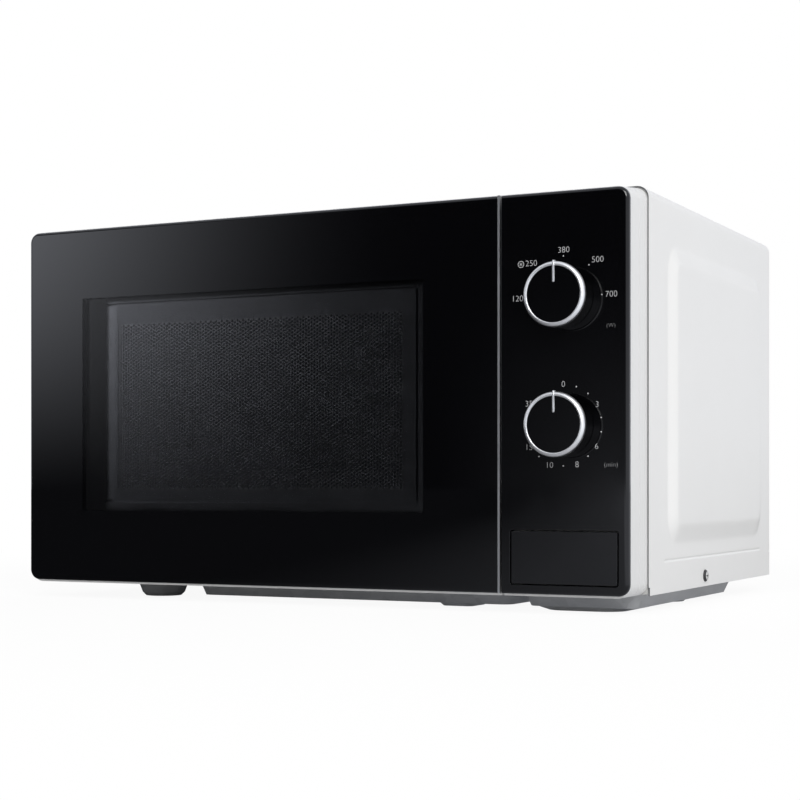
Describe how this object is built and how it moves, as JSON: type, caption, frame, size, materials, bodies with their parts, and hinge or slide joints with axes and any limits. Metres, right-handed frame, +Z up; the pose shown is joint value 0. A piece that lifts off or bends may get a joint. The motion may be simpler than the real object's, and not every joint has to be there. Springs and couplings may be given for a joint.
{
  "type": "microwave oven",
  "caption": "Compact countertop microwave oven with a side-hinged glass door, dials for power and time, a push-button door release and a turning glass tray.",
  "frame": {"origin": "middle of the oven's plan, on the surface its feet stand on", "axes": "+X to the right as seen from the front, +Y from the front to the rear, +Z up"},
  "size_m": [0.448, 0.345, 0.2598],
  "materials": {
    "case_paint": "satin white powder coat",
    "white_moulding": "white satin moulding",
    "door_glass": "black printed glass with a smoky window",
    "black_gloss": "polished black",
    "silver_trim": "satin silver",
    "zinc_sheet": "galvanised sheet",
    "oven_enamel": "light grey enamel",
    "screen_black": "black enamel",
    "choke_plastic": "dark grey moulding",
    "clear_sheet": "clear",
    "bright_steel": "bright zinc plated",
    "foot_moulding": "grey moulding",
    "gland_rubber": "matte",
    "natural_plastic": "natural white moulding",
    "dark_plastic": "black moulding",
    "bare_aluminium": "satin",
    "clear_glass": "clear",
    "mica": "pale brown mica board",
    "copper": "bare copper",
    "core_iron": "varnished laminations",
    "circuit_board": "lacquered board"
  },
  "bodies": {
    "chassis": {"outer_case": "case_paint", "control_housing": "white_moulding", "control_fascia": "black_gloss", "base_plate": "zinc_sheet", "rear_panel": "zinc_sheet", "waveguide": "zinc_sheet", "magnetron_yoke": "zinc_sheet", "fan_motor": "zinc_sheet", "front_plate": "oven_enamel", "cavity_left_wall": "oven_enamel", "cavity_right_wall": "oven_enamel", "cavity_ceiling": "oven_enamel", "cavity_floor": "oven_enamel", "cavity_rear_wall": "oven_enamel", "upper_hinge": "bright_steel", "lower_hinge": "bright_steel", "case_screws": "bright_steel", "button_spring": "bright_steel", "feet": "foot_moulding", "cord_gland": "gland_rubber", "latch_board": "natural_plastic", "lamp_holder": "natural_plastic", "power_selector": "dark_plastic", "timer_unit": "dark_plastic", "interlock_switches": "dark_plastic", "fan_shroud": "dark_plastic", "high_voltage_diode": "dark_plastic", "turntable_motor": "bare_aluminium", "high_voltage_capacitor": "bare_aluminium", "thermal_cutouts": "bare_aluminium", "lamp_bulb": "clear_glass", "waveguide_cover": "mica", "magnetron_tube": "copper", "transformer_windings": "copper", "transformer_core": "core_iron", "noise_filter": "circuit_board"},
    "door": {"door_glass": "door_glass", "door_edge_trim": "silver_trim", "door_frame": "white_moulding", "door_screen": "screen_black", "door_choke_cover": "choke_plastic", "door_inner_window": "clear_sheet", "latch_spring": "bright_steel"},
    "latch": {"latch_hook": "natural_plastic"},
    "power_dial": {"power_knob": "black_gloss", "power_knob_trim": "silver_trim", "power_shaft": "bright_steel"},
    "timer_dial": {"timer_knob": "black_gloss", "timer_knob_trim": "silver_trim", "timer_shaft": "bright_steel"},
    "button": {"release_button": "black_gloss"},
    "lever": {"release_lever": "natural_plastic"},
    "turntable": {"glass_tray": "clear_glass", "turntable_coupler": "natural_plastic"},
    "roller_ring": {"roller_ring": "natural_plastic"},
    "wheel_1": {"roller_wheel_1": "natural_plastic"},
    "wheel_2": {"roller_wheel_2": "natural_plastic"},
    "wheel_3": {"roller_wheel_3": "natural_plastic"},
    "fan": {"fan_blade": "dark_plastic"}
  },
  "joints": [
    {"name": "door_swing", "type": "hinge", "parent": "chassis", "child": "door", "pos_m": [-0.214, -0.1275, 0.1335], "axis": [0, 0, -1], "range_deg": [0, 100]},
    {"name": "latch_lift", "type": "slide", "parent": "door", "child": "latch", "axis": [0, 0, 1], "range_m": [0, 0.0038], "deforming": ["latch_spring"]},
    {"name": "button_press", "type": "slide", "parent": "chassis", "child": "button", "axis": [0, 1, 0], "range_m": [0, 0.005], "stiffness_N_per_m": 300, "springref_m": -0.004, "deforming": ["button_spring"]},
    {"name": "lever_turn", "type": "hinge", "parent": "chassis", "child": "lever", "pos_m": [0.1375, -0.1125, 0.06], "axis": [1, 0, 0], "range_deg": [0, 18.2]},
    {"name": "power_turn", "type": "hinge", "parent": "chassis", "child": "power_dial", "pos_m": [0.1792, -0.1555, 0.1909], "axis": [0, 1, 0], "range_deg": [-90, 90]},
    {"name": "timer_turn", "type": "hinge", "parent": "chassis", "child": "timer_dial", "pos_m": [0.1792, -0.1555, 0.1141], "axis": [0, 1, 0], "range_deg": [0, 300]},
    {"name": "tray_spin", "type": "hinge", "parent": "chassis", "child": "turntable", "pos_m": [-0.043, 0.0235, 0.046], "axis": [0, 0, 1], "continuous": true},
    {"name": "roller_ring_spin", "type": "hinge", "parent": "chassis", "child": "roller_ring", "pos_m": [-0.043, 0.0235, 0.039], "axis": [0, 0, 1], "continuous": true},
    {"name": "roller_wheel_1_spin", "type": "hinge", "parent": "roller_ring", "child": "wheel_1", "pos_m": [-0.043, 0.12, 0.039], "axis": [0, 1, 0], "continuous": true},
    {"name": "roller_wheel_2_spin", "type": "hinge", "parent": "roller_ring", "child": "wheel_2", "pos_m": [-0.12657, -0.02475, 0.039], "axis": [-0.866, -0.5, 0], "continuous": true},
    {"name": "roller_wheel_3_spin", "type": "hinge", "parent": "roller_ring", "child": "wheel_3", "pos_m": [0.04057, -0.02475, 0.039], "axis": [0.866, -0.5, 0], "continuous": true},
    {"name": "fan_spin", "type": "hinge", "parent": "chassis", "child": "fan", "pos_m": [0.16525, 0.153, 0.172], "axis": [0, 1, 0], "continuous": true}
  ],
  "couplings": [
    {"joint": "latch_lift", "follows": "button_press", "ratio": 0.76},
    {"joint": "lever_turn", "follows": "button_press", "rad_per_m": 63.5},
    {"joint": "roller_ring_spin", "follows": "tray_spin", "ratio": 0.5},
    {"joint": "roller_wheel_1_spin", "follows": "tray_spin", "ratio": -7.2015},
    {"joint": "roller_wheel_2_spin", "follows": "tray_spin", "ratio": -7.2015},
    {"joint": "roller_wheel_3_spin", "follows": "tray_spin", "ratio": -7.2015}
  ]
}
